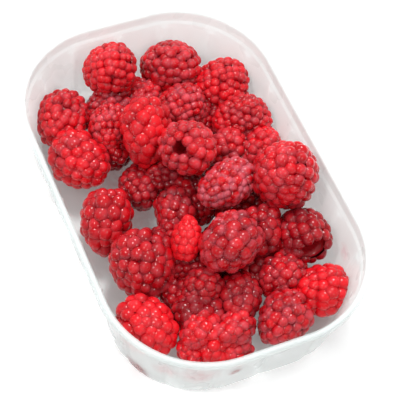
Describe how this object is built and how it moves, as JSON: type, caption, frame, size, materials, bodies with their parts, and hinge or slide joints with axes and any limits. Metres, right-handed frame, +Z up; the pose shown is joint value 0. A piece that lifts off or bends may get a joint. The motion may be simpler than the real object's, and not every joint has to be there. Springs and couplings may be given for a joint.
{
  "type": "punnet of raspberries",
  "caption": "Shallow translucent moulded tray with a flanged rim and fluted walls, filled with a loose uneven heap of ripe raspberries.",
  "frame": {"origin": "middle of the tray's footprint, on the plane it stands on", "axes": "+Z up, Y along the tray's long side, X along its short side"},
  "size_m": [0.096, 0.1456, 0.0439],
  "materials": {
    "tray": "satin translucent",
    "berries": "moist fruit skin"
  },
  "bodies": {
    "root": {"tray": "tray", "berries": "berries"}
  },
  "joints": []
}
